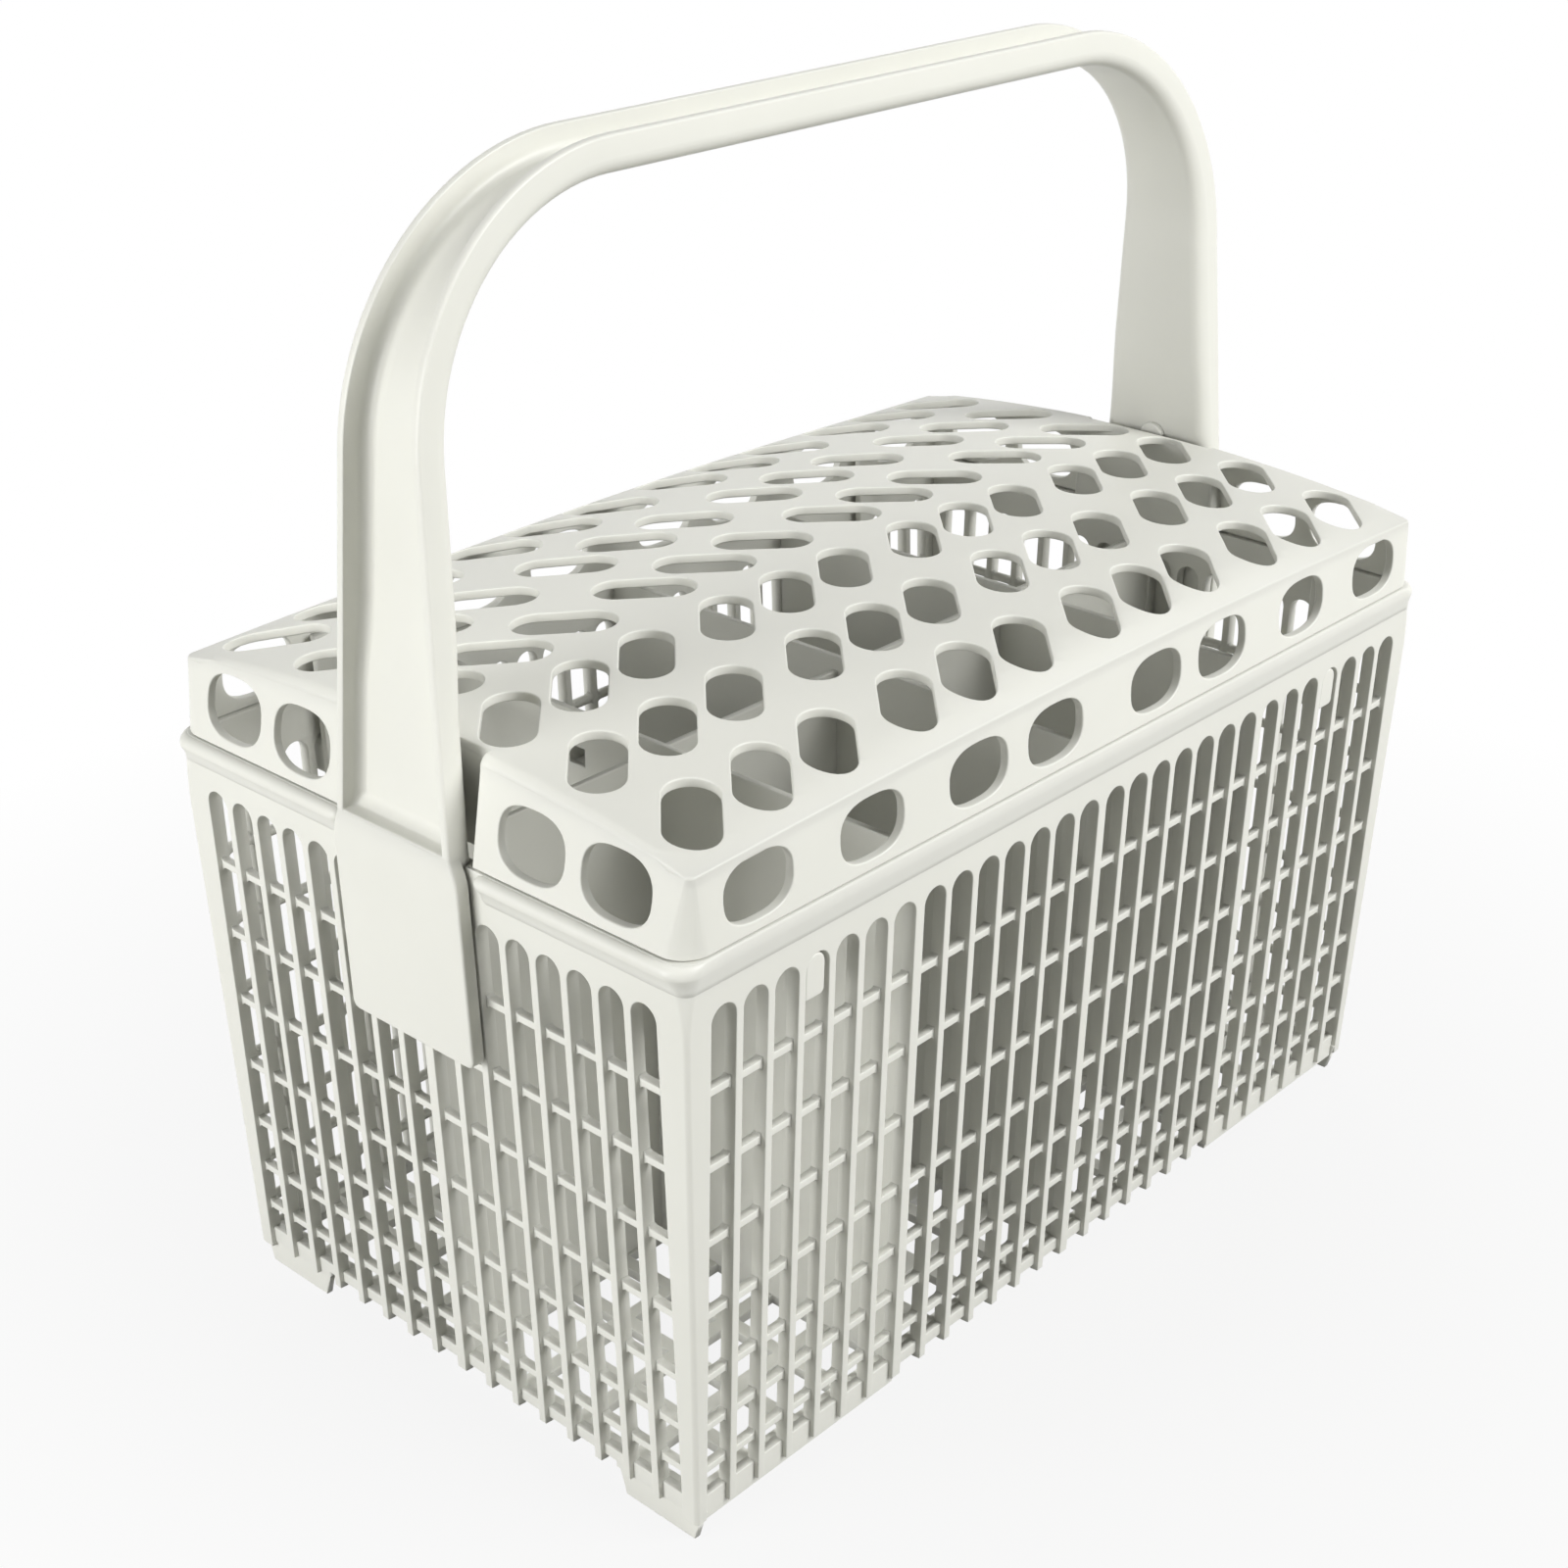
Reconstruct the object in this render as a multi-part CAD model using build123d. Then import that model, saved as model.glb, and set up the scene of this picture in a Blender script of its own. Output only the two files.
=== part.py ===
"""Dishwasher cutlery basket: a grid-walled basket, a crowned lid with slanted slots and a bail handle.

Millimetres. X runs along the basket, Y across it, Z up. The origin is under the middle of the basket,
on the surface that its feet stand on.
"""
from build123d import *
import math
import os

# Wall grid: slots between upright bars, in groups with a thick bar between them
SLOT_WIDTH = 6.1
BAR_WIDTH = 1.8
THICK_BAR_WIDTH = 2.5
LONG_GROUPS = 4
LONG_GROUP_SLOTS = 7
SHORT_GROUPS = 2
SHORT_GROUP_SLOTS = 8
LONG_POST = 6.5
SHORT_POST = 7.6
SLOT_FOOT = 4.5
SLOT_HEAD = 10.5
SLOT_FACETS = 3

# Cross rails: the lowest one above the base, then the steps up to the next ones
RAIL_HEIGHT = 1.6
FIRST_RAIL = 11.0
RAIL_STEPS = (10.0, 11.5, 14.5, 16.0, 16.0, 16.0)
RAIL_RELIEF = 0.1

# Basket body
BODY_HEIGHT = 123.0
FOOT_DROP = 5.0
WALL_DRAFT = 1.77
BAR_DEPTH = 1.6
RAIL_DEPTH = 1.4
CORNER_RADIUS = 5.0
PARTITION_THICKNESS = 1.6
CROSS_PARTITION_DROP = 1.0
CENTRE_PARTITION_DROP = 4.0
FLOOR_THICKNESS = 2.4
FLOOR_BAR = 3.2
FLOOR_HOLES_LONG = 4
FLOOR_HOLES_SHORT = 4
UNDERCUT = 1.5
END_BEAD_RADIUS = 1.7
SIDE_BEAD_STAND = 0.6
BEAD_DROP = 1.8
FOOT_THICKNESS = 1.8
FOOT_LENGTH = 22.5
FOOT_SLANT = 2.1

# Lid
LID_WALL = 2.0
LID_HEIGHT = 25.3
LID_SETBACK = 0.2
LID_CORNER = 7.0
SIDE_LEAN = 1.1
END_LEAN = 3.0
ROW_DROPS = (0.5, 2.2, 5.2)
EDGE_DROP = 8.0
EDGE_ROLL = 3.4
CROWN_BLEND = 40.0
CROWN_ALONG = 1640.0
LID_SLOT_WIDTH = 10.4
LID_SLOT_LENGTH = 21.0
LID_SLOT_ANGLE = 45.0
LID_SLOT_FACETS = 4
LID_COLUMN_STEP = 17.15
LID_ROW_STEP = 22.6
LID_COLUMNS = 3
LID_ROWS = 3
SKIRT_HOLE_LENGTH = 16.8
SKIRT_HOLE_HEIGHT = 12.0
SKIRT_HOLE_RISE = 9.3
SKIRT_HOLE_FACETS = 3
OUTER_PAIR_STEP = 29.2
INNER_PAIR_STEP = 23.2
END_HOLE_MIDDLE = 42.2
END_PAIR_STEP = 21.7
TAB_THICKNESS = 1.8
TAB_HOOK = 9.0
TAB_BRACKET = 12.0
TAB_CLEARANCE = 0.4

# Handle
HANDLE_RISE = 119.3
HANDLE_RADIUS = 50.0
CHANNEL_DEPTH = 6.3
WEB_THICKNESS = 2.2
FLANGE_THICKNESS = 1.9
GRIP_HALF_WIDTH = 7.7
LEG_FLARE = 0.068
LEG_LEAN = 0.046
CHANNEL_FLOOR = 4.0
TONGUE_LENGTH = 41.0
TONGUE_WIDTH = 34.6
TONGUE_THICKNESS = 3.2
TONGUE_CORNER = 4.0
TONGUE_SHOULDER = 3.0
TONGUE_CLEARANCE = 0.4
NOTCH_CLEARANCE = 0.5
NUB_WIDTH = 6.0
NUB_REACH = 1.3
NUB_HEIGHT = 2.6
NUB_CLEARANCE = 0.15

# Sizes that follow from those above
BASE_Z = FOOT_DROP
RIM_Z = BASE_Z + BODY_HEIGHT
WALL_THICKNESS = BAR_DEPTH + RAIL_DEPTH
SLOT_BOTTOM = BASE_Z + SLOT_FOOT
SLOT_TOP = RIM_Z - SLOT_HEAD
DRAFT = math.tan(math.radians(WALL_DRAFT))
LID_TOP = RIM_Z + LID_HEIGHT
GRIP_Z = RIM_Z + HANDLE_RISE
SILL_SETBACK = BAR_DEPTH + RAIL_RELIEF


def group_span(slots):
    """Length of one group of slots with the thin bars between them."""
    return slots * SLOT_WIDTH + (slots - 1) * BAR_WIDTH


def group_centres(groups, slots):
    """Middle of each group along a side, counted from the side's own middle."""
    step = group_span(slots) + THICK_BAR_WIDTH
    return [(index - (groups - 1) / 2) * step for index in range(groups)]


def grid_span(groups, slots):
    """Length of a whole side's grid, from its first slot to its last."""
    return groups * group_span(slots) + (groups - 1) * THICK_BAR_WIDTH


RIM_LENGTH = grid_span(LONG_GROUPS, LONG_GROUP_SLOTS) + 2 * LONG_POST
RIM_WIDTH = grid_span(SHORT_GROUPS, SHORT_GROUP_SLOTS) + 2 * SHORT_POST
LEG_FOOT = RIM_LENGTH / 2 + TONGUE_CLEARANCE + TONGUE_THICKNESS
BEYOND = RIM_LENGTH + HANDLE_RISE
BASE_HALF_LENGTH = RIM_LENGTH / 2 - DRAFT * BODY_HEIGHT
BASE_HALF_WIDTH = RIM_WIDTH / 2 - DRAFT * BODY_HEIGHT


def slot_centres(groups, slots):
    """Middle of each slot along a side, counted from the side's own middle."""
    step = SLOT_WIDTH + BAR_WIDTH
    first = -(slots - 1) * step / 2
    return [group + first + slot * step for group in group_centres(groups, slots) for slot in range(slots)]


def rail_heights():
    """Middle of each cross rail, from the lowest to the highest."""
    heights = [BASE_Z + FIRST_RAIL]
    for step in RAIL_STEPS:
        heights.append(heights[-1] + step)
    return heights


def between(low, high, axis=2):
    """A block between two levels along one axis, and reaching past everything along the others."""
    size = [2 * BEYOND] * 3
    size[axis] = high - low
    place = [0, 0, 0]
    place[axis] = (low + high) / 2
    return Pos(*place) * Box(*size)


def drafted_block(inset, bottom=BASE_Z, top=RIM_Z):
    """The basket's outside, drawn in by inset all round, between two heights."""
    shrink = 2 * inset + 2 * DRAFT * (RIM_Z - top)
    outline = Rectangle(RIM_LENGTH - shrink, RIM_WIDTH - shrink)
    if not inset:
        outline = RectangleRounded(RIM_LENGTH - shrink, RIM_WIDTH - shrink, CORNER_RADIUS)
    return extrude(Pos(0, 0, top) * outline, amount=-(top - bottom), taper=WALL_DRAFT)


def arc_points(centre, radius, start, turn, facets):
    """Corners of a faceted arc, in degrees, from its start to its end."""
    angles = [math.radians(start + turn * index / facets) for index in range(facets + 1)]
    return [(centre[0] + radius * math.cos(a), centre[1] + radius * math.sin(a)) for a in angles]


def upright_slot(width, bottom, top):
    """A slot with a round head, drawn in a plane whose second axis is Z."""
    head = arc_points((0, top - width / 2), width / 2, 0, 180, SLOT_FACETS)
    return make_face(Polyline((-width / 2, bottom), (width / 2, bottom), *head, close=True))


def obround(width, length, facets):
    """A slot with two round ends along the first axis."""
    reach = (length - width) / 2
    right = arc_points((reach, 0), width / 2, -90, 180, facets)
    left = arc_points((-reach, 0), width / 2, 90, 180, facets)
    return make_face(Polyline(*right, *left, close=True))


def flatted_hole(length, height, facets):
    """A round hole cut short by two flats along the first axis."""
    half_angle = math.degrees(math.asin(height / length))
    right = arc_points((0, 0), length / 2, -half_angle, 2 * half_angle, facets)
    left = arc_points((0, 0), length / 2, 180 - half_angle, 2 * half_angle, facets)
    return make_face(Polyline(*right, *left, close=True))


def through(plane, outline, places):
    """Cutters that run both ways from a plane through the middle."""
    return [extrude(plane * Pos(*place) * outline, amount=BEYOND, both=True) for place in places]


def wall_plane(along_x, side):
    """The outer face of one drafted wall, with its second axis up the wall and zero at the rim."""
    slope = math.radians(WALL_DRAFT)
    out = side * math.cos(slope)
    down = -math.sin(slope)
    if along_x:
        return Plane(origin=(0, side * RIM_WIDTH / 2, RIM_Z), x_dir=(-side, 0, 0), z_dir=(0, out, down))
    return Plane(origin=(side * RIM_LENGTH / 2, 0, RIM_Z), x_dir=(0, side, 0), z_dir=(out, 0, down))


def wall_slots():
    """Cutters for the slots of all four walls, as deep as the bars and open at the base."""
    depth = BAR_DEPTH + RAIL_RELIEF / 2
    slot = upright_slot(SLOT_WIDTH, -BODY_HEIGHT - SLOT_FOOT, -SLOT_HEAD)
    sides = ((True, LONG_GROUPS, LONG_GROUP_SLOTS), (False, SHORT_GROUPS, SHORT_GROUP_SLOTS))
    cutters = []
    for along_x, groups, slots in sides:
        for side in (-1, 1):
            plane = wall_plane(along_x, side)
            for centre in slot_centres(groups, slots):
                cutters.append(extrude(plane * Pos(centre, 0, -depth) * slot, amount=2 * depth))
    return cutters


def grid_walls():
    """Four walls of upright bars on a sill, with cross rails behind them that the corner posts hold."""
    recess = drafted_block(BAR_DEPTH, SLOT_BOTTOM, SLOT_TOP)
    half_long = grid_span(LONG_GROUPS, LONG_GROUP_SLOTS) / 2
    half_short = grid_span(SHORT_GROUPS, SHORT_GROUP_SLOTS) / 2
    recesses = [recess & between(-half_long, half_long, 0), recess & between(-half_short, half_short, 1)]
    ring = drafted_block(SILL_SETBACK) - drafted_block(WALL_THICKNESS)
    rails = [ring & between(z - RAIL_HEIGHT / 2, z + RAIL_HEIGHT / 2) for z in rail_heights()]
    walls = drafted_block(0) - drafted_block(WALL_THICKNESS) - recesses
    return walls + rails - wall_slots()


def floor_grid():
    """The bottom, with rows of square holes in each compartment."""
    floor = drafted_block(SILL_SETBACK, SLOT_BOTTOM - FLOOR_THICKNESS, SLOT_BOTTOM)
    inside_length = 2 * (BASE_HALF_LENGTH - WALL_THICKNESS)
    inside_width = 2 * (BASE_HALF_WIDTH - WALL_THICKNESS)
    across = LONG_GROUPS * FLOOR_HOLES_LONG
    deep = SHORT_GROUPS * FLOOR_HOLES_SHORT
    step_x = inside_length / across
    step_y = inside_width / deep
    hole = Rectangle(step_x - FLOOR_BAR, step_y - FLOOR_BAR)
    places = GridLocations(step_x, step_y, across, deep)
    return floor - [extrude(place * hole, amount=BASE_Z + 2 * SLOT_FOOT) for place in places]


def partition_room(top):
    """Where a partition can stand: clear of the rails, and into the solid bands above and below them."""
    bottom = SLOT_BOTTOM - FLOOR_THICKNESS
    return drafted_block(WALL_THICKNESS + RAIL_RELIEF, bottom, top) + drafted_block(BAR_DEPTH, SLOT_TOP, top)


def partitions():
    """Upright plates that part the inside into compartments."""
    half = PARTITION_THICKNESS / 2
    step = group_span(LONG_GROUP_SLOTS) + THICK_BAR_WIDTH
    room = partition_room(RIM_Z - CROSS_PARTITION_DROP)
    plates = []
    for index in range(1, LONG_GROUPS):
        centre = (index - LONG_GROUPS / 2) * step
        plates.append(room & between(centre - half, centre + half, 0))
    plates.append(partition_room(RIM_Z - CENTRE_PARTITION_DROP) & between(-half, half, 1))
    return plates


def feet():
    """Four plates under the short sides' sills that the basket stands on."""
    top = BASE_Z + UNDERCUT
    outer = BASE_HALF_LENGTH - SILL_SETBACK
    far = BASE_HALF_WIDTH
    near = far - FOOT_LENGTH
    outline = make_face(Polyline(
        (near, top), (far, top), (far - FOOT_SLANT, 0), (near + FOOT_SLANT, 0), close=True,
    ))
    plate = Pos(outer - FOOT_THICKNESS, 0, 0) * extrude(Plane.YZ * outline, amount=FOOT_THICKNESS)
    pair = [plate, mirror(plate, Plane.XZ)]
    return pair + [mirror(foot, Plane.YZ) for foot in pair]


def rim_beads():
    """Rounded beads just under the rim: bold on the short sides, faint on the long ones."""
    z = RIM_Z - BEAD_DROP
    near = TONGUE_WIDTH / 2 + 2 * TONGUE_CLEARANCE
    far = RIM_WIDTH / 2 - CORNER_RADIUS
    end = Pos(RIM_LENGTH / 2 - DRAFT * BEAD_DROP, (near + far) / 2, z) * Rot(90, 0, 0)
    bead = end * Cylinder(END_BEAD_RADIUS, far - near)
    beads = [bead, mirror(bead, Plane.XZ)]
    beads += [mirror(piece, Plane.YZ) for piece in beads]
    middle = RIM_WIDTH / 2 - DRAFT * BEAD_DROP - END_BEAD_RADIUS + SIDE_BEAD_STAND
    for side in (-1, 1):
        beads.append(Pos(0, side * middle, z) * Rot(0, 90, 0)
                     * Cylinder(END_BEAD_RADIUS, RIM_LENGTH - 2 * CORNER_RADIUS))
    return beads


def sill_undercuts():
    """Room under the sills, between the end groups of the long sides and between the feet."""
    middle = (LONG_GROUPS / 2 - 1) * (group_span(LONG_GROUP_SLOTS) + THICK_BAR_WIDTH)
    inside_length = 2 * (BASE_HALF_LENGTH - SILL_SETBACK)
    inside_width = 2 * (BASE_HALF_WIDTH - SILL_SETBACK)
    foot_gap = 2 * (BASE_HALF_WIDTH - FOOT_LENGTH)
    along = Pos(0, 0, BASE_Z) * Box(2 * middle, inside_width, 2 * UNDERCUT)
    across = Pos(0, 0, BASE_Z) * Box(inside_length, foot_gap, 2 * UNDERCUT)
    return [along, across]


def make_basket():
    """The basket in one moulding."""
    return grid_walls() - sill_undercuts() + [floor_grid(), *partitions(), *feet(), *rim_beads()]


def crown_drop(x):
    """How far the lid's top has fallen at a distance along it from the middle."""
    return x ** 2 / (2 * CROWN_ALONG)


def lid_section(inset):
    """The lid's section across the basket, from a level below the rim up to the crown."""
    half_width = RIM_WIDTH / 2 - LID_SETBACK
    crease_y = half_width - SIDE_LEAN
    low_drop = LID_HEIGHT + EDGE_DROP
    foot_y = half_width + SIDE_LEAN * EDGE_DROP / (LID_HEIGHT - EDGE_DROP)
    right = [
        (foot_y, -low_drop), (crease_y, -EDGE_DROP), (crease_y - EDGE_ROLL, -ROW_DROPS[2]),
        (2 * LID_ROW_STEP, -ROW_DROPS[1]), (LID_ROW_STEP, -ROW_DROPS[0]), (0, 0),
    ]
    left = [(-y, z) for y, z in reversed(right[:-1])]
    section = make_face(Polyline(*right, *left, close=True))
    if inset:
        section = offset(section, amount=-inset, kind=Kind.INTERSECTION)
    upper = [corner for corner in section.vertices() if corner.Y > -ROW_DROPS[1] - 2 * inset]
    return fillet(upper, CROWN_BLEND)


def crowned_block(inset):
    """The lid's outside form, drawn in by inset, in lengths that follow the crown along the basket."""
    section = lid_section(inset)
    step = group_span(LONG_GROUP_SLOTS) + THICK_BAR_WIDTH
    half_length = RIM_LENGTH / 2 - LID_SETBACK - inset
    lengths = []
    for index in range(LONG_GROUPS // 2):
        fall = crown_drop((index + 1) * step) - crown_drop(index * step)
        start = Plane.YZ.offset(index * step) * Pos(0, LID_TOP - crown_drop(index * step)) * section
        reach = step if index < LONG_GROUPS // 2 - 1 else 2 * step
        slant = Vector(step, 0, -fall)
        length = extrude(start, amount=reach / step * slant.length, dir=slant)
        lengths += [length, mirror(length, Plane.YZ)]
    block = lengths[0].fuse(*lengths[1:])
    rise = 2 * LID_HEIGHT
    lean = END_LEAN * rise / (LID_HEIGHT - EDGE_DROP)
    sink = lean * EDGE_DROP / rise
    ends = make_face(Polyline(
        (-half_length - sink, RIM_Z - EDGE_DROP), (half_length + sink, RIM_Z - EDGE_DROP),
        (half_length - lean, RIM_Z + rise), (-half_length + lean, RIM_Z + rise), close=True,
    ))
    block = block & extrude(Plane.XZ * ends, amount=BEYOND, both=True)
    uprights = [edge for edge in block.edges() if edge.bounding_box().size.Z > LID_HEIGHT / 2
                and abs(edge.center().X) > half_length - 2 * END_LEAN]
    return fillet(uprights, max(LID_CORNER - inset, LID_CORNER / 4))


def lid_slots():
    """Slanted slots in a herringbone on the lid's top."""
    slot = obround(LID_SLOT_WIDTH, LID_SLOT_LENGTH, LID_SLOT_FACETS)
    cutters = []
    for group in group_centres(LONG_GROUPS, LONG_GROUP_SLOTS):
        for column in range(LID_COLUMNS):
            x = group + (column - (LID_COLUMNS - 1) / 2) * LID_COLUMN_STEP
            for row in range(LID_ROWS):
                y = (row + 0.5) * LID_ROW_STEP
                for side in (-1, 1):
                    turned = Pos(x, side * y, RIM_Z) * Rot(0, 0, -side * LID_SLOT_ANGLE) * slot
                    cutters.append(extrude(turned, amount=LID_HEIGHT * 2))
    return cutters


def skirt_holes():
    """Flatted holes round the lid's skirt."""
    hole = flatted_hole(SKIRT_HOLE_LENGTH, SKIRT_HOLE_HEIGHT, SKIRT_HOLE_FACETS)
    z = RIM_Z + SKIRT_HOLE_RISE
    long_places = []
    centres = group_centres(LONG_GROUPS, LONG_GROUP_SLOTS)
    for centre in centres:
        outer = centre in (centres[0], centres[-1])
        half = (OUTER_PAIR_STEP if outer else INNER_PAIR_STEP) / 2
        long_places += [(centre - half, z), (centre + half, z)]
    half = END_PAIR_STEP / 2
    short_places = [(side * END_HOLE_MIDDLE + shift, z) for side in (-1, 1) for shift in (-half, half)]
    return through(Plane.XZ, hole, long_places) + through(Plane.YZ, hole, short_places)


def snap_tabs():
    """Arms inside the long walls, each with a hook that fills the head of one slot."""
    width = SLOT_WIDTH - 2 * TAB_CLEARANCE
    face = RIM_WIDTH / 2 - WALL_THICKNESS - TAB_CLEARANCE
    hook_top = SLOT_TOP - TAB_CLEARANCE
    hook_bottom = hook_top - TAB_HOOK
    lean = DRAFT * (RIM_Z - hook_bottom)
    bracket = RIM_WIDTH / 2 - LID_SETBACK - SIDE_LEAN - LID_WALL / 2
    top = RIM_Z + TAB_BRACKET
    arm = make_face(Polyline(
        (bracket, top), (bracket, RIM_Z), (face, RIM_Z), (face - lean, hook_bottom),
        (face - lean - TAB_THICKNESS, hook_bottom), (face - TAB_THICKNESS, RIM_Z),
        (face - TAB_THICKNESS, top), close=True,
    ))
    hook = Plane.XZ * upright_slot(width, hook_bottom, hook_top)
    back = face - lean - TAB_THICKNESS / 2
    front = RIM_WIDTH / 2 - DRAFT * (RIM_Z - hook_bottom)
    tab = extrude(Plane.YZ * arm, amount=width / 2, both=True)
    tab = tab + Pos(0, front, 0) * extrude(hook, amount=front - back)
    centre = group_centres(LONG_GROUPS, LONG_GROUP_SLOTS)[-1]
    pair = [Pos(side * centre, 0, 0) * tab for side in (-1, 1)]
    return pair + [mirror(piece, Plane.XZ) for piece in pair]


def make_lid():
    """The lid in one moulding."""
    lid = (crowned_block(0) - crowned_block(LID_WALL)) & between(RIM_Z, GRIP_Z)
    notch_face = LEG_FOOT - CHANNEL_DEPTH - LEG_LEAN * LID_HEIGHT - NOTCH_CLEARANCE
    notch = Box(BEYOND, TONGUE_WIDTH + 4 * NOTCH_CLEARANCE, 2 * BEYOND)
    notches = [Pos(side * (notch_face + BEYOND / 2), 0, RIM_Z) * notch for side in (-1, 1)]
    return lid - notches - lid_slots() - skirt_holes() + snap_tabs()


def bail_outline(inset):
    """The handle's arch seen from the side, drawn in by inset."""
    foot = LEG_FOOT - inset
    top = GRIP_Z - inset
    corner = LEG_FOOT - LEG_LEAN * HANDLE_RISE - inset
    arch = make_face(Polyline((-foot, RIM_Z), (-corner, top), (corner, top), (foot, RIM_Z), close=True))
    shoulders = arch.vertices().sort_by(Axis.Y)[-2:]
    return fillet(shoulders, HANDLE_RADIUS - inset)


def tapered_wedge(inset, bottom):
    """A wedge across the basket that narrows upward, for the handle's two edges."""
    low = GRIP_HALF_WIDTH + LEG_FLARE * (GRIP_Z - bottom) - inset
    high = GRIP_HALF_WIDTH - inset
    outline = make_face(Polyline((-low, bottom), (low, bottom), (high, GRIP_Z), (-high, GRIP_Z), close=True))
    return extrude(Plane.YZ * outline, amount=BEYOND, both=True)


def tongue():
    """The plate that hangs outside a short wall, with rounded corners."""
    outline = RectangleRounded(TONGUE_WIDTH, TONGUE_LENGTH + TONGUE_SHOULDER, TONGUE_CORNER)
    slope = math.radians(WALL_DRAFT)
    plane = Plane(
        origin=(RIM_LENGTH / 2 + TONGUE_CLEARANCE, 0, RIM_Z),
        x_dir=(0, 1, 0),
        z_dir=(math.cos(slope), 0, -math.sin(slope)),
    )
    return extrude(plane * Pos(0, (TONGUE_SHOULDER - TONGUE_LENGTH) / 2) * outline, amount=TONGUE_THICKNESS)


def make_handle():
    """The handle in one moulding: a channel bent into an arch, with a tongue at each foot."""
    arch = extrude(Plane.XZ * bail_outline(0), amount=BEYOND, both=True)
    arch = arch - extrude(Plane.XZ * bail_outline(CHANNEL_DEPTH), amount=BEYOND, both=True)
    handle = arch & tapered_wedge(0, RIM_Z)
    channel = arch - extrude(Plane.XZ * bail_outline(CHANNEL_DEPTH - WEB_THICKNESS), amount=BEYOND, both=True)
    handle = handle - (channel & tapered_wedge(FLANGE_THICKNESS, RIM_Z + CHANNEL_FLOOR))
    plate = tongue()
    nub_x = LEG_FOOT - CHANNEL_DEPTH - LEG_LEAN * LID_HEIGHT
    nub_z = LID_TOP - nub_x ** 2 / (2 * CROWN_ALONG) + NUB_CLEARANCE + NUB_HEIGHT / 2
    nub = Pos(nub_x, 0, nub_z) * Box(2 * NUB_REACH, NUB_WIDTH, NUB_HEIGHT)
    return handle + [plate, mirror(plate, Plane.YZ), nub, mirror(nub, Plane.YZ)]


os.makedirs("parts", exist_ok=True)
export_step(make_basket(), "parts/basket.step")
export_step(make_lid(), "parts/lid.step")
export_step(make_handle(), "parts/handle.step")
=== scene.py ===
"""Looks of a dishwasher cutlery basket: grid walls, a crowned lid with slanted slots and a bail handle.

Sizes are in millimetres, as in the part's source, and are turned to metres where a mesh is made.
"""
import logging
import math
from dataclasses import dataclass, field
from enum import Enum
from typing import Callable

import bmesh
import bpy
from mathutils import Matrix, Vector
from mathutils.geometry import delaunay_2d_cdt


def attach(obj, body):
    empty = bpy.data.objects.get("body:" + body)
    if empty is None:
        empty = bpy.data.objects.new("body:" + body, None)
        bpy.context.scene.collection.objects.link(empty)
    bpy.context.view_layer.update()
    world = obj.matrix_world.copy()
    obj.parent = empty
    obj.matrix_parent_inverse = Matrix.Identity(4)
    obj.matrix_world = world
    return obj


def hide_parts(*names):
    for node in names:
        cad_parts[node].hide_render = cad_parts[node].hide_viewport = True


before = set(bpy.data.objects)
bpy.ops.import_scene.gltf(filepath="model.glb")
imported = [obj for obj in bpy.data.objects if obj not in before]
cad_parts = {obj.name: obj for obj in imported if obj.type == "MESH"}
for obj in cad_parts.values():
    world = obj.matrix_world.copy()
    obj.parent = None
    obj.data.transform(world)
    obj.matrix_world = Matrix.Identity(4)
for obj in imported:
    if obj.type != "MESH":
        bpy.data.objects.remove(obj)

LOG = logging.getLogger("basket")
MILLIMETRE = 0.001
# Points closer than the first distance are welded, and edges shorter than the second one are dropped.
WELD = 0.002 * MILLIMETRE
SLIVER = 0.0005 * MILLIMETRE
# Slack, in millimetres, where a straight run meets a bend.
HAIR = 0.001
# Chords in the half of a rim corner that belongs to one wall.
BEND_STEPS = 5

Point = tuple[float, float]
Place = Callable[[float, float, float], Vector]


class Level(float, Enum):
    """Heights that several pieces share, in millimetres above the surface that the feet stand on."""

    BASE = 5.0
    FLOOR = 9.5
    SLOT_TOP = 117.5
    RIM = 128.0
    CROWN = 153.3
    GRIP = 247.3


@dataclass(frozen=True)
class GridSpec:
    """Pattern of the wall grid.

    Attributes:
        slot: Width of a slot.
        bar: Width of a thin bar.
        thick: Width of the thick bar between two groups.
        long_groups: Groups on a long side, each with long_slots slots.
        short_groups: Groups on a short side, each with short_slots slots.
        rails: Heights of the cross rails' middles.
    """

    slot: float = 6.1
    bar: float = 1.8
    thick: float = 2.5
    long_groups: int = 4
    long_slots: int = 7
    short_groups: int = 2
    short_slots: int = 8
    rails: tuple[float, ...] = (16.0, 26.0, 37.5, 52.0, 68.0, 84.0, 100.0)

    def group_step(self, slots: int) -> float:
        """Gives the distance between the middles of two neighbouring groups with that many slots."""
        return slots * (self.slot + self.bar) - self.bar + self.thick

    def group_middles(self, groups: int, slots: int) -> list[float]:
        """Lists the distances of the groups' middles from the side's middle."""
        return [(index - (groups - 1) / 2) * self.group_step(slots) for index in range(groups)]

    def slot_middles(self, groups: int, slots: int) -> list[float]:
        """Lists the slots' middles along a side.

        Args:
            groups: Groups on the side.
            slots: Slots in a group.

        Returns:
            Distances from the side's middle.
        """
        step = self.slot + self.bar
        first = -(slots - 1) * step / 2
        middles = self.group_middles(groups, slots)
        return [middle + first + slot * step for middle in middles for slot in range(slots)]


GRID = GridSpec()
SIDES = ((True, GRID.long_groups, GRID.long_slots), (False, GRID.short_groups, GRID.short_slots))


def linear(value: str) -> tuple[float, float, float]:
    """Turns an sRGB colour into linear values.

    Args:
        value: Six hexadecimal digits after a hash sign.

    Returns:
        Linear red, green and blue.
    """
    parts = [int(value[start:start + 2], 16) / 255 for start in (1, 3, 5)]
    return tuple(part / 12.92 if part <= 0.04045 else ((part + 0.055) / 1.055) ** 2.4 for part in parts)


def clamp(value: float) -> float:
    """Keeps a value between nought and one."""
    return min(max(value, 0.0), 1.0)


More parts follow.
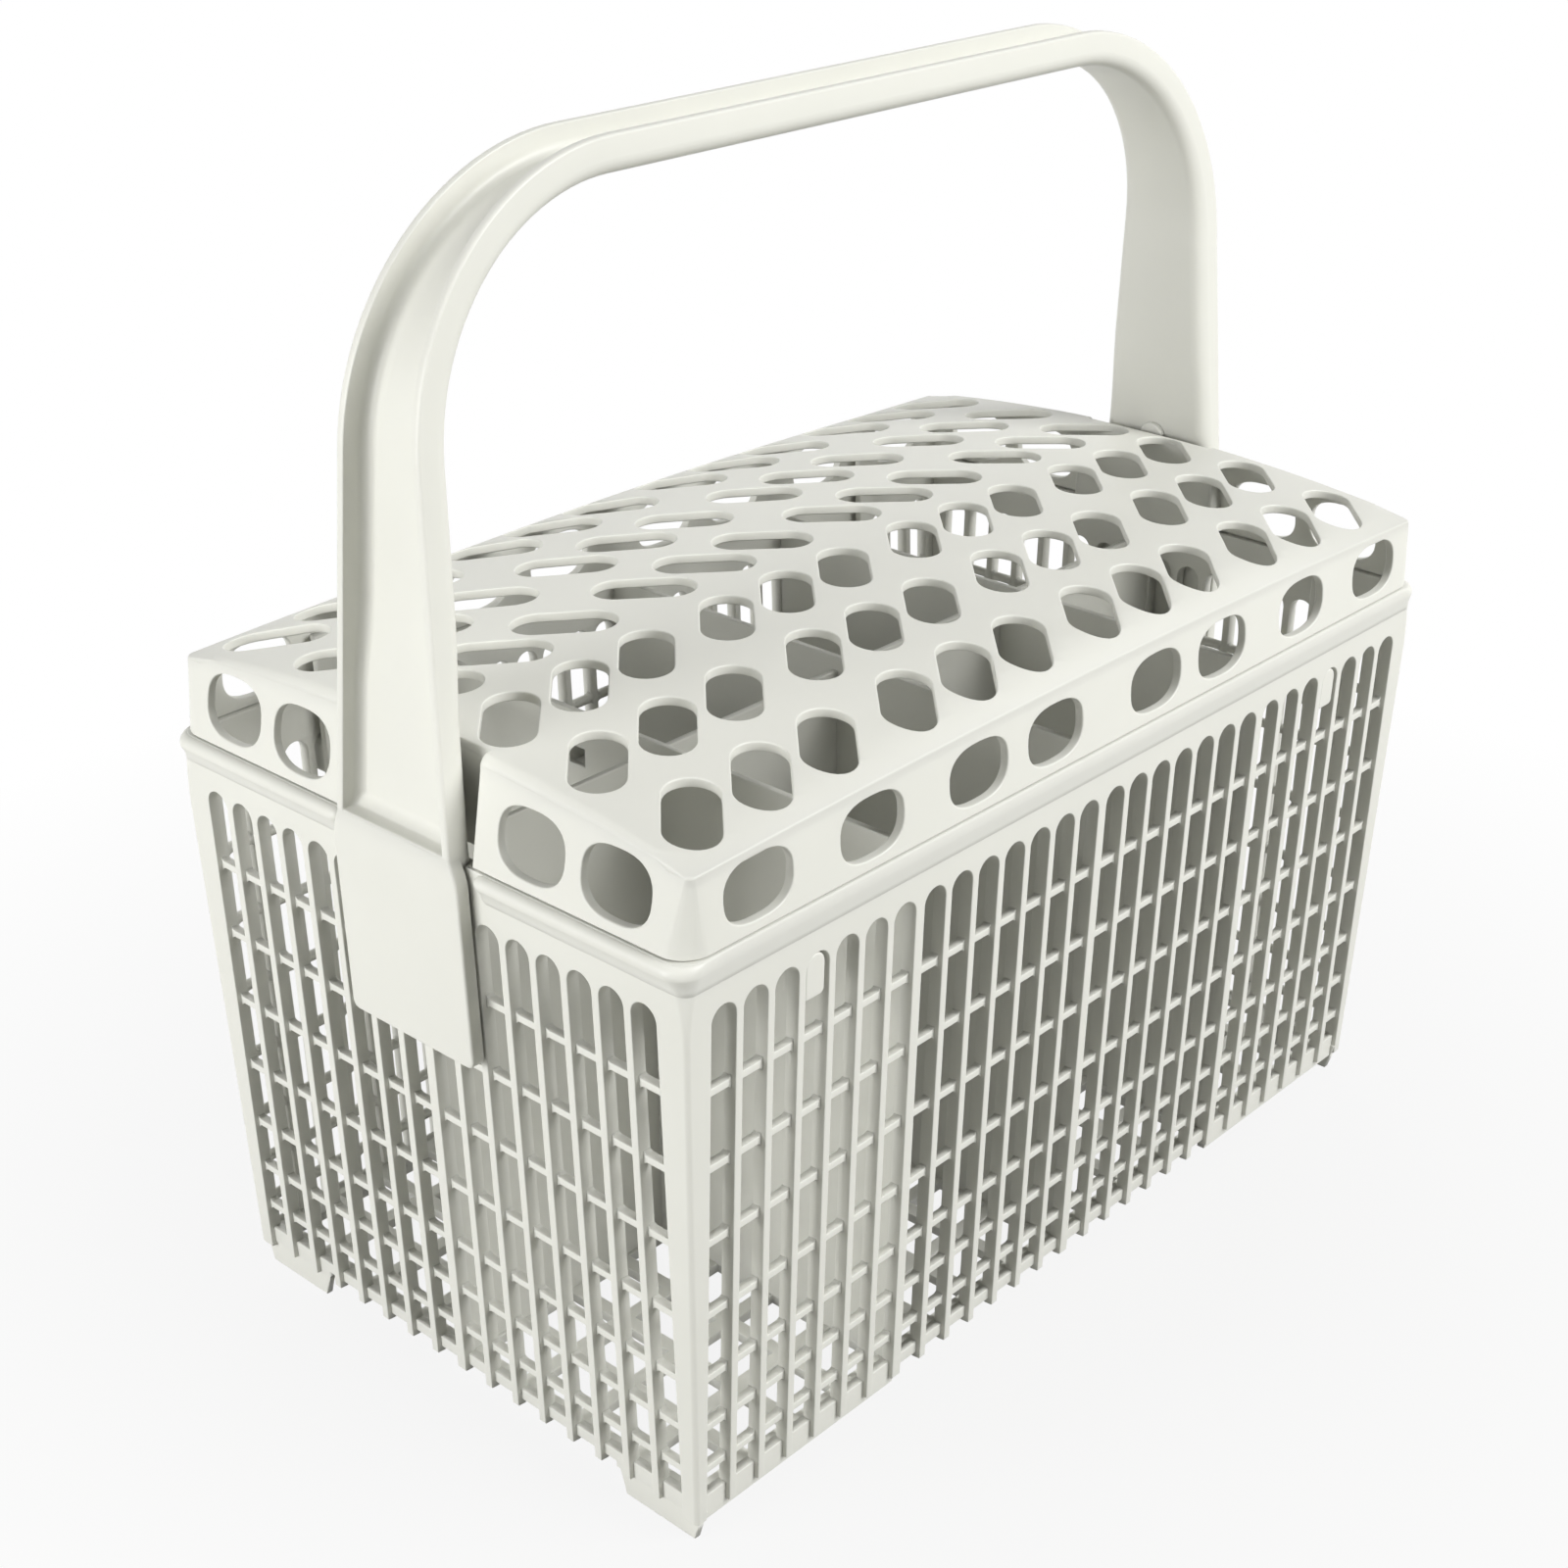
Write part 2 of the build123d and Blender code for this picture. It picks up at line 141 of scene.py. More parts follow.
def arc(centre: Point, radius: float, start: float, turn: float, steps: int) -> list[Point]:
    """Samples an arc.

    Args:
        centre: Middle of the arc.
        radius: Its radius.
        start: Angle of its first point, in degrees.
        turn: Angle that it turns through, in degrees.
        steps: Number of chords.

    Returns:
        Points from the start to the end.
    """
    angles = [math.radians(start + turn * index / steps) for index in range(steps + 1)]
    return [(centre[0] + radius * math.cos(a), centre[1] + radius * math.sin(a)) for a in angles]


def rectangle(left: float, right: float, low: float, high: float) -> list[Point]:
    """Lists a rectangle's corners, counter-clockwise."""
    return [(left, low), (right, low), (right, high), (left, high)]


def loop_box(loop: list[Point], margin: float) -> tuple[float, float, float, float]:
    """Finds the box round a loop.

    Args:
        loop: Corners of the loop.
        margin: Distance that the box is grown by.

    Returns:
        Lowest and highest first coordinate, then lowest and highest second one.
    """
    firsts, seconds = zip(*loop)
    return min(firsts) - margin, max(firsts) + margin, min(seconds) - margin, max(seconds) + margin


def offset_loop(loop: list[Point], distances: list[float]) -> list[Point]:
    """Moves each edge of a counter-clockwise loop inward by its own distance.

    Args:
        loop: Corners of the loop.
        distances: One distance for the edge that follows each corner; negative moves it outward.

    Returns:
        The moved corners.
    """
    nearly_straight = 0.02
    moved = []
    count = len(loop)
    for index in range(count):
        before, here, after = loop[index - 1], loop[index], loop[(index + 1) % count]
        normals = []
        for start, end in ((before, here), (here, after)):
            run = (end[0] - start[0], end[1] - start[1])
            size = math.hypot(*run) or 1.0
            normals.append((-run[1] / size, run[0] / size))
        (ax, ay), (bx, by) = normals
        first, second = distances[index - 1], distances[index]
        cross = ax * by - ay * bx
        if abs(cross) < nearly_straight:
            moved.append((here[0] + (ax + bx) / 2 * (first + second) / 2,
                          here[1] + (ay + by) / 2 * (first + second) / 2))
            continue
        shift_x = (first * by - second * ay) / cross
        shift_y = (second * ax - first * bx) / cross
        moved.append((here[0] + shift_x, here[1] + shift_y))
    return moved


def inside(point: Point, loop: list[Point]) -> bool:
    """Tells whether a point lies inside a loop.

    Args:
        point: The point.
        loop: Corners of the loop.

    Returns:
        True if it does.
    """
    x, y = point
    found = False
    for index, (x1, y1) in enumerate(loop):
        x0, y0 = loop[index - 1]
        if (y0 > y) != (y1 > y) and x < (x1 - x0) * (y - y0) / (y1 - y0) + x0:
            found = not found
    return found


def add_object(name: str, data: bpy.types.ID) -> bpy.types.Object:
    """Makes an object and links it to the scene.

    Args:
        name: Name of the object.
        data: Its mesh, lamp or camera.

    Returns:
        The object.
    """
    made = bpy.data.objects.new(name, data)
    bpy.context.scene.collection.objects.link(made)
    return made


@dataclass
class Mesher:
    """Collects the vertices and faces of one piece, in millimetres."""

    vertices: list[Vector] = field(default_factory=list)
    faces: list[tuple[int, ...]] = field(default_factory=list)

    def ring(self, points: list[Vector]) -> list[int]:
        """Adds points.

        Args:
            points: Positions in the shared frame.

        Returns:
            Their indices.
        """
        first = len(self.vertices)
        self.vertices.extend(points)
        return list(range(first, first + len(points)))

    def bridge(self, one: list[int], two: list[int], skip: frozenset[int] = frozenset()) -> None:
        """Joins two closed rings of the same length with quads.

        Args:
            one: Indices of the first ring.
            two: Indices of the second ring.
            skip: Edges that get no face.
        """
        count = len(one)
        for index in range(count):
            if index not in skip:
                after = (index + 1) % count
                self.faces.append((one[index], one[after], two[after], two[index]))

    def sweep(self, rings: list[list[Vector]]) -> None:
        """Adds a closed bar through rings of the same length, with flat ends.

        Args:
            rings: Cross sections from one end to the other.
        """
        made = [self.ring(points) for points in rings]
        for one, two in zip(made, made[1:]):
            self.bridge(one, two)
        self.faces.append(tuple(reversed(made[0])))
        self.faces.append(tuple(made[-1]))

    def finish(self, name: str) -> bpy.types.Object:
        """Makes the Blender object.

        Args:
            name: Name of the object.

        Returns:
            The object, linked to the scene, with soft edges and flat faces kept flat.
        """
        mesh = bpy.data.meshes.new(name)
        mesh.from_pydata([point * MILLIMETRE for point in self.vertices], [], self.faces)
        work = bmesh.new()
        work.from_mesh(mesh)
        bmesh.ops.remove_doubles(work, verts=work.verts, dist=WELD)
        bmesh.ops.dissolve_degenerate(work, edges=work.edges, dist=SLIVER)
        bmesh.ops.recalc_face_normals(work, faces=work.faces)
        work.to_mesh(mesh)
        work.free()
        mesh.shade_smooth()
        mesh.validate()
        made = add_object(name, mesh)
        weighted = made.modifiers.new("flat faces stay flat", "WEIGHTED_NORMAL")
        weighted.mode = "FACE_AREA"
        weighted.weight = 60
        return made


@dataclass
class PerforatedPlate:
    """A plate of even thickness with holes and rounded edges, bent into place by a function.

    Attributes:
        outline: Counter-clockwise corners of the plate, in its own two coordinates.
        place: Gives a point in the shared frame from the two coordinates and the depth.
        thickness: Depth of the back face.
        edge: Radius of the front edges.
        holes: Counter-clockwise loops of the holes.
        seams: Outline edges that join another plate, and get no face.
        grid: Extra points inside the plate, for a bent one.
        ties: Pairs of outline corners joined by a straight line across the plate, for a bent one.
        ridge: Depth and height of the parting line along the edges.
    """

    outline: list[Point]
    place: Place
    thickness: float
    edge: float = 0.3
    holes: list[list[Point]] = field(default_factory=list)
    seams: frozenset[int] = frozenset()
    grid: list[Point] = field(default_factory=list)
    ties: list[tuple[int, int]] = field(default_factory=list)
    ridge: Point = (0.0, 0.0)

    def profile(self) -> list[tuple[float, float]]:
        """Lists an edge's profile from the front face to the back one.

        Returns:
            Pairs of a distance into the plate and a depth.
        """
        quarter = [math.radians(angle) for angle in (0, 30, 60, 90)]
        front = [(self.edge * (1 - math.sin(a)), self.edge * (1 - math.cos(a))) for a in quarter]
        depth, height = self.ridge
        middle = [(-height, depth)] if height else []
        back = [(0.0, self.thickness - self.edge), (self.edge, self.thickness)]
        return front + middle + back

    def build(self, mesher: Mesher) -> None:
        """Adds the plate to a piece.

        Args:
            mesher: Collects the piece.
        """
        profile = self.profile()
        loops = [(self.outline, 1.0, self.seams)] + [(hole, -1.0, frozenset()) for hole in self.holes]
        flat: list[Point] = []
        lines: list[tuple[int, int]] = []
        front: list[int] = []
        back: list[int] = []
        hole_loops: list[list[Point]] = []
        for loop, sign, seams in loops:
            count = len(loop)
            moved = [offset_loop(loop, [0.0 if index in seams else sign * shift for index in range(count)])
                     for shift, _ in profile]
            rings = [mesher.ring([self.place(u, v, depth) for u, v in points])
                     for points, (_, depth) in zip(moved, profile)]
            for one, two in zip(rings, rings[1:]):
                mesher.bridge(one, two, seams)
            start = len(flat)
            flat.extend(moved[0])
            lines.extend((start + index, start + (index + 1) % count) for index in range(count))
            front.extend(rings[0])
            back.extend(rings[-1])
            if sign < 0:
                hole_loops.append(moved[0])
        flat.extend(self.grid)
        front.extend(mesher.ring([self.place(u, v, 0.0) for u, v in self.grid]))
        back.extend(mesher.ring([self.place(u, v, self.thickness) for u, v in self.grid]))
        for triangle in self.triangles(flat, lines + self.ties, hole_loops):
            mesher.faces.append(tuple(front[index] for index in triangle))
            mesher.faces.append(tuple(back[index] for index in reversed(triangle)))

    @staticmethod
    def triangles(flat: list[Point], lines: list[tuple[int, int]],
                  holes: list[list[Point]]) -> list[list[int]]:
        """Fills the plate's flat face.

        Args:
            flat: Points of the face.
            lines: Pairs of points that must be joined.
            holes: Loops that stay open.

        Returns:
            Triangles as indices into flat.
        """
        within_lines = 1
        tolerance = 1e-5
        spots = [Vector(point) for point in flat]
        points, _, faces, sources, _, _ = delaunay_2d_cdt(spots, lines, [], within_lines, tolerance)
        boxes = [(*loop_box(hole, 0.0), hole) for hole in holes]
        kept = []
        for face in faces:
            u = sum(points[index].x for index in face) / 3
            v = sum(points[index].y for index in face) / 3
            if any(a < u < b and c < v < d and inside((u, v), hole) for a, b, c, d, hole in boxes):
                continue
            if all(sources[index] for index in face):
                kept.append([sources[index][0] for index in face])
        return kept


@dataclass(frozen=True)
class Polypropylene:
    """Satin moulded polypropylene: an off-white, slightly milky plastic with soft highlights.

    Attributes:
        name: Name of the material.
        colour: Plain colour of the plastic.
        shade: Slightly greyer colour of its faint mottling.
        roughness: Width of the highlights.
        refraction: Index of refraction.
        milkiness: Share of the light that passes under the surface.
        reach: Distance that this light goes, in millimetres.
        mottle: Size of the mottling, in millimetres.
        grain: Size of the moulded grain, in millimetres.
        grain_height: Height of the grain, in millimetres.
    """

    name: str = "moulded polypropylene"
    colour: str = "#E6E6DE"
    shade: str = "#E0E0D8"
    roughness: float = 0.42
    refraction: float = 1.49
    milkiness: float = 0.12
    reach: float = 2.0
    mottle: float = 25.0
    grain: float = 0.35
    grain_height: float = 0.02

    def make(self) -> bpy.types.Material:
        """Makes the material.

        Returns:
            The material.
        """
        made = bpy.data.materials.new(self.name)
        made.use_nodes = True
        tree = made.node_tree
        # The satin mould gives broad, dull highlights, and light under the surface softens the thin edges.
        shader = tree.nodes["Principled BSDF"]
        shader.inputs["Roughness"].default_value = self.roughness
        shader.inputs["IOR"].default_value = self.refraction
        shader.inputs["Subsurface Weight"].default_value = self.milkiness
        shader.inputs["Subsurface Radius"].default_value = (1.0, 1.0, 0.9)
        shader.inputs["Subsurface Scale"].default_value = self.reach * MILLIMETRE
        place = add_node(tree, "ShaderNodeTexCoord", {})
        cloud = add_node(tree, "ShaderNodeTexNoise",
                         {"Scale": 1 / (self.mottle * MILLIMETRE), "Detail": 3.0},
                         {"Vector": place.outputs["Object"]})
        mix = add_node(tree, "ShaderNodeMix", {}, {"Factor": cloud.outputs["Fac"]}, data_type="RGBA")
        mix.inputs[6].default_value = (*linear(self.colour), 1.0)
        mix.inputs[7].default_value = (*linear(self.shade), 1.0)
        tree.links.new(mix.outputs[2], shader.inputs["Base Color"])
        # Such a mould's grain is finer than a pixel, so it is drawn coarser, at one or two pixels.
        grain = add_node(tree, "ShaderNodeTexNoise",
                         {"Scale": 1 / (self.grain * MILLIMETRE), "Detail": 2.0},
                         {"Vector": place.outputs["Object"]})
        bump = add_node(tree, "ShaderNodeBump",
                        {"Strength": 0.12, "Distance": self.grain_height * MILLIMETRE},
                        {"Height": grain.outputs["Fac"]})
        tree.links.new(bump.outputs["Normal"], shader.inputs["Normal"])
        return made


def add_node(tree: bpy.types.NodeTree, kind: str, values: dict[str, float],
             links: dict[str, bpy.types.NodeSocket] | None = None, **settings: str) -> bpy.types.Node:
    """Adds a shader node.

    Args:
        tree: Tree that it goes into.
        kind: Type of the node.
        values: Input values by name.
        links: Sockets that feed inputs, by input name.
        settings: Attributes of the node.

    Returns:
        The node.
    """
    node = tree.nodes.new(kind)
    for key, value in settings.items():
        setattr(node, key, value)
    for key, value in values.items():
        node.inputs[key].default_value = value
    for key, socket in (links or {}).items():
        tree.links.new(socket, node.inputs[key])
    return node


def add_seen(tree: bpy.types.NodeTree) -> bpy.types.NodeSocket:
    """Adds nodes that tell whether a ray shows a surface to the camera, also by way of a mirror or glass.

    Args:
        tree: Tree that they go into.

    Returns:
        A value of one for such a ray, and else of nought.
    """
    path = add_node(tree, "ShaderNodeLightPath", {})
    found = path.outputs["Is Camera Ray"]
    for name in ("Is Glossy Ray", "Is Transmission Ray"):
        either = add_node(tree, "ShaderNodeMath", {}, operation="MAXIMUM")
        tree.links.new(found, either.inputs[0])
        tree.links.new(path.outputs[name], either.inputs[1])
        found = either.outputs["Value"]
    return found


@dataclass
class Moulding:
    """A piece that comes out of one mould, and is one mesh here.

    Attributes:
        mesher: Collects the piece.
    """

    mesher: Mesher = field(default_factory=Mesher)

    def plate(self, outline: list[Point], place: Place, thickness: float, edge: float = 0.3,
              **more: list | frozenset | tuple) -> None:
        """Adds a plate to the piece.

        Args:
            outline: Counter-clockwise corners of the plate.
            place: Puts its points in the shared frame.
            thickness: Its thickness.
            edge: Radius of its front edges.
            more: Holes and other settings of a perforated plate.
        """
        PerforatedPlate(outline, place, thickness, edge, **more).build(self.mesher)


@dataclass
class BasketBody(Moulding):
    """The basket: grid walls with rails, partitions, bottom grid, rim beads and feet.

    Attributes:
        half_length: Outside half length at the rim.
        half_width: Outside half width at the rim.
        draft: Inward lean of the walls per millimetre down.
        wall: Depth of the bars.
        corner: Radius of the vertical corners at the rim.
        corner_low: Their radius further down.
        corner_start: Height from which they widen towards the rim.
        parting: Depth and height of the parting line on the bars' flanks.
        rail_set: Distance of the rails and sills behind the bars' fronts.
        rail_half: Half height of a rail between two bars.
        overlap: Length by which rails and sills run into the corner posts.
        sill_under: Underside of a sill.
        sill_low: Underside of a sill under a long wall's end group.
        bar_end: Lower end of the bars.
        partition: Thickness of the partitions.
        tuck: Depth at which their ends lie in the walls.
        window: Sides of the small window in the left partition: near, far, low and high.
        bottom: Thickness of the bottom grid.
        bottom_holes: Its holes along and across.
        rib_half: Half width of its ribs.
        foot_length: Length of a foot where it meets the sill.
    """

    half_length: float = 117.25
    half_width: float = 70.25
    draft: float = math.tan(math.radians(1.77))
    wall: float = 3.0
    corner: float = 5.0
    corner_low: float = 1.0
    corner_start: float = 112.0
    parting: Point = (1.6, 0.08)
    rail_set: float = 1.05
    rail_half: float = 0.8
    overlap: float = 1.0
    sill_under: float = 7.0
    sill_low: float = 3.9
    bar_end: float = 5.9
    partition: float = 1.6
    tuck: float = 2.0
    window: tuple[float, float, float, float] = (18.0, 22.5, 115.0, 119.0)
    bottom: float = 2.4
    bottom_holes: tuple[int, int] = (16, 8)
    rib_half: float = 1.6
    foot_length: float = 22.5

    def fall(self, z: float) -> float:
        """Gives how far a wall stands in at a height, compared with the rim."""
        return self.draft * (Level.RIM - z)

    def wall_place(self, along_x: bool, side: int) -> Place:
        """Gives the function that puts a wall's points in place.

        Args:
            along_x: True for a long wall.
            side: Sign of the wall's outward direction.

        Returns:
            A function of the distance along the wall, the height and the depth.
        """
        along = self.half_length if along_x else self.half_width
        across = self.half_width if along_x else self.half_length
        limit = along - self.corner

        def place(u: float, z: float, depth: float) -> Vector:
            """Puts one point of the wall in place."""
            fall = self.fall(z)
            rise = clamp((z - self.corner_start) / (Level.RIM - self.corner_start))
            radius = self.corner_low + (self.corner - self.corner_low) * rise ** 2
            turn = max(abs(u) - limit, 0.0) / self.corner
            start = abs(u) if abs(u) < limit - HAIR else along - fall - radius
            a = math.copysign(start + (radius - depth) * math.sin(turn), u)
            b = side * (across - fall - radius + (radius - depth) * math.cos(turn))
            return Vector((-side * a, b, z)) if along_x else Vector((b, side * a, z))
        return place

    def slot_edge(self, middle: float) -> list[Point]:
        """Follows one slot from its left foot over its round head to its right foot.

        Args:
            middle: Distance of the slot's middle along the wall.

        Returns:
            Points of the edge.
        """
        half = GRID.slot / 2
        head = arc((middle, Level.SLOT_TOP - half), half, 180, -180, 14)
        return [(middle - half, self.bar_end)] + head + [(middle + half, self.bar_end)]

    def walls(self) -> None:
        """Adds the four walls: a band under the rim, from which the bars hang like the teeth of a comb."""
        bent_heights = (111.0, 115.0, 119.0, 122.0, 124.5, 126.5)
        for along_x, groups, slots in SIDES:
            limit = (self.half_length if along_x else self.half_width) - self.corner
            bend = [limit + self.corner * math.pi / 4 * step / BEND_STEPS for step in range(BEND_STEPS + 1)]
            low = [(-u, Level.BASE) for u in reversed(bend)]
            middles = GRID.slot_middles(groups, slots)
            low.append((middles[0] - GRID.slot / 2, Level.BASE))
            for middle in middles:
                low += self.slot_edge(middle)
            low.append((middles[-1] + GRID.slot / 2, Level.BASE))
            low += [(u, Level.BASE) for u in bend]
            top = [(u, Level.RIM) for u in reversed(bend)] + [(-u, Level.RIM) for u in bend]
            count = len(low)
            total = count + len(top)
            ties = [(count - 1 - step, count + step) for step in range(len(bend))]
            ties += [(step, total - 1 - step) for step in range(len(bend))]
            grid = [(end * u, z) for end in (-1, 1) for u in bend for z in bent_heights]
            for side in (-1, 1):
                self.plate(
                    low + top, self.wall_place(along_x, side), self.wall, edge=0.2,
                    seams=frozenset((count - 1, total - 1)), grid=grid, ties=ties, ridge=self.parting,
                )

    def sills(self) -> None:
        """Adds the sills that the bars stand on, deeper under the end groups of the long walls."""
        soft, lift, under_bars = 0.2, 0.25, 0.3
        front, back, top = self.rail_set, self.wall, Level.FLOOR + lift
        for along_x, groups, slots in SIDES:
            far = GRID.slot_middles(groups, slots)[-1] + GRID.slot / 2 + self.overlap
            near = GRID.group_step(slots) * (groups / 2 - 1)
            under_end = self.sill_low
            if not along_x:
                near = self.half_width - self.fall(Level.BASE) - self.foot_length
                under_end = self.bar_end - under_bars
            runs = [(-far, -near, under_end), (-near, near, self.sill_under), (near, far, under_end)]
            for side in (-1, 1):
                place = self.wall_place(along_x, side)
                for start, end, under in runs:
                    section = [
                        (front + soft, under), (front, under + soft), (front, top - soft),
                        (front + soft, top), (back, top), (back, under),
                    ]
                    self.mesher.sweep([[place(u, z, depth) for depth, z in section] for u in (start, end)])

    def rails(self) -> None:
        """Adds the cross rails, each a little taller where it meets a bar."""
        # Pairs of a distance from the bar and the rail's extra half height there.
        flare = ((0.0, 0.7), (0.25, 0.35), (0.55, 0.1), (0.8, 0.0))
        tallest = flare[0][1]
        half_slot, soft, front, back = GRID.slot / 2, 0.15, self.rail_set, self.wall - 0.1
        for along_x, groups, slots in SIDES:
            stations = []
            for middle in GRID.slot_middles(groups, slots):
                stations += [(middle - half_slot + run, rise) for run, rise in flare]
                stations += [(middle + half_slot - run, rise) for run, rise in reversed(flare)]
            stations.insert(0, (stations[0][0] - self.overlap, tallest))
            stations.append((stations[-1][0] + self.overlap, tallest))
            for side in (-1, 1):
                place = self.wall_place(along_x, side)
                for height in GRID.rails:
                    rings = []
                    for u, rise in stations:
                        half = self.rail_half + rise
                        low = self.rail_half + 0.5 * rise
                        section = [
                            (front + soft, -half), (front, soft - half), (front, half - soft),
                            (front + soft, half), (back, low), (back, -low),
                        ]
                        rings.append([place(u, height + up, depth) for depth, up in section])
                    self.mesher.sweep(rings)

    def divider(self, half: float, top: float) -> list[Point]:
        """Draws a partition between two opposite walls.

        Args:
            half: Outside half distance of the walls at the rim.
            top: Height of the partition's upper edge.

        Returns:
            Its corners.
        """
        low = Level.FLOOR - self.bottom
        narrow, wide = half - self.tuck - self.fall(low), half - self.tuck - self.fall(top)
        return [(-narrow, low), (narrow, low), (wide, top), (-wide, top)]

    def partitions(self) -> None:
        """Adds the partitions, with a small window in the left one that a box closes on its far side."""
        cross_top, long_top = Level.RIM - 1.0, Level.RIM - 4.0
        half = self.partition / 2
        step = GRID.group_step(GRID.long_slots)
        for middle in (-step, 0.0, step):
            self.plate(
                self.divider(self.half_width, cross_top),
                lambda u, v, d, at=middle: Vector((at - half + d, u, v)), self.partition,
                holes=[rectangle(*self.window)] if middle < 0 else [],
            )
        near, far, under, over = self.window
        start, depth, side = 0.5, 6.5, 1.0
        lap = side / 2
        blocks = (
            (near - side, near, under - side, over + side, start),
            (far, far + side, under - side, over + side, start),
            (near - lap, far + lap, under - side, under, start),
            (near - lap, far + lap, over, over + side, start),
            (near - lap, far + lap, under - lap, over + lap, depth - side),
        )
        for *sides, begin in blocks:
            ring = rectangle(*sides)
            self.mesher.sweep([[Vector((x - step, y, z)) for y, z in ring] for x in (begin, depth)])
        self.plate(
            self.divider(self.half_length, long_top),
            lambda u, v, d: Vector((u, d - half, v)), self.partition,
        )

    def bottom_grid(self) -> None:
        """Adds the bottom grid."""
        fall = self.fall(Level.BASE)
        half_x, half_y = self.half_length - fall - self.rib_half, self.half_width - fall - self.rib_half
        columns, rows = self.bottom_holes
        pitch_x = 2 * (self.half_length - fall - self.wall) / columns
        pitch_y = 2 * (self.half_width - fall - self.wall) / rows
        a, b = pitch_x / 2 - self.rib_half, pitch_y / 2 - self.rib_half
        holes = []
        for column in range(columns):
            for row in range(rows):
                x = (column - (columns - 1) / 2) * pitch_x
                y = (row - (rows - 1) / 2) * pitch_y
                holes.append(rectangle(x - a, x + a, y - b, y + b))
        self.plate(
            rectangle(-half_x, half_x, -half_y, half_y),
            lambda u, v, d: Vector((u, v, Level.FLOOR - d)), self.bottom, edge=0.25, holes=holes,
        )

    def feet(self) -> None:
        """Adds the four feet under the short walls."""
        inset, taper, thickness = 1.3, 2.1, 1.8
        fall = self.fall(Level.BASE)
        outer = self.half_length - fall - inset
        far = self.half_width - fall
        near = far - self.foot_length
        outline = [(near + taper, 0.0), (far - taper, 0.0), (far, self.sill_under), (near, self.sill_under)]
        for end in (-1, 1):
            for side in (-1, 1):
                self.plate(
                    outline, lambda u, v, d, end=end, side=side: Vector((end * (outer - d), side * u, v)),
                    thickness,
                )

    def beads(self) -> None:
        """Adds the bead under the rim: bold on the short sides, faint along the long ones."""
        z = Level.RIM - 1.8
        radius = 1.7
        short, long = self.wall_place(False, 1), self.wall_place(True, 1)
        edge_short, edge_long = self.half_width - self.corner, self.half_length - self.corner
        bend = self.corner * math.pi / 4
        steps = range(1, BEND_STEPS + 1)
        # The bead swells up beside the tongue, thins round the corner and fades along the long side.
        path = [(short, u, 1.0) for u in (18.6, 18.9, 19.6, 20.5, edge_short)]
        path += [(short, edge_short + bend * step / BEND_STEPS, 1.0 - 0.06 * step) for step in steps]
        path += [(long, -edge_long - bend * (1 - step / BEND_STEPS), 0.7 - 0.08 * step) for step in steps]
        path.append((long, 6.0 - edge_long, 0.2))
        swell = [0.1, 0.55, 0.85, 1.0]
        swell += [1.0] * (len(path) - len(swell))
        profile = [(-0.6, -4.4), (0.06, -4.0), (0.3, -3.0), (0.75, -1.9)]
        profile += [(radius * x, radius * y) for x, y in arc((0, 0), 1.0, -30, 120, 9)] + [(-0.6, radius)]
        half = []
        for (place, u, bold), size in zip(path, swell):
            half.append([place(u, z + rise * size, -reach * size * bold if reach > 0 else -reach)
                         for reach, rise in profile])
        whole = half + [[Vector((-p.x, p.y, p.z)) for p in ring] for ring in reversed(half)]
        for side in (-1, 1):
            self.mesher.sweep([[Vector((p.x, side * p.y, p.z)) for p in ring] for ring in whole])

    def build(self) -> bpy.types.Object:
        """Makes the basket.

        Returns:
            The object.
        """
        self.walls()
        self.sills()
        self.rails()
        self.partitions()
        self.bottom_grid()
        self.feet()
        self.beads()
        return self.mesher.finish("basket_body")


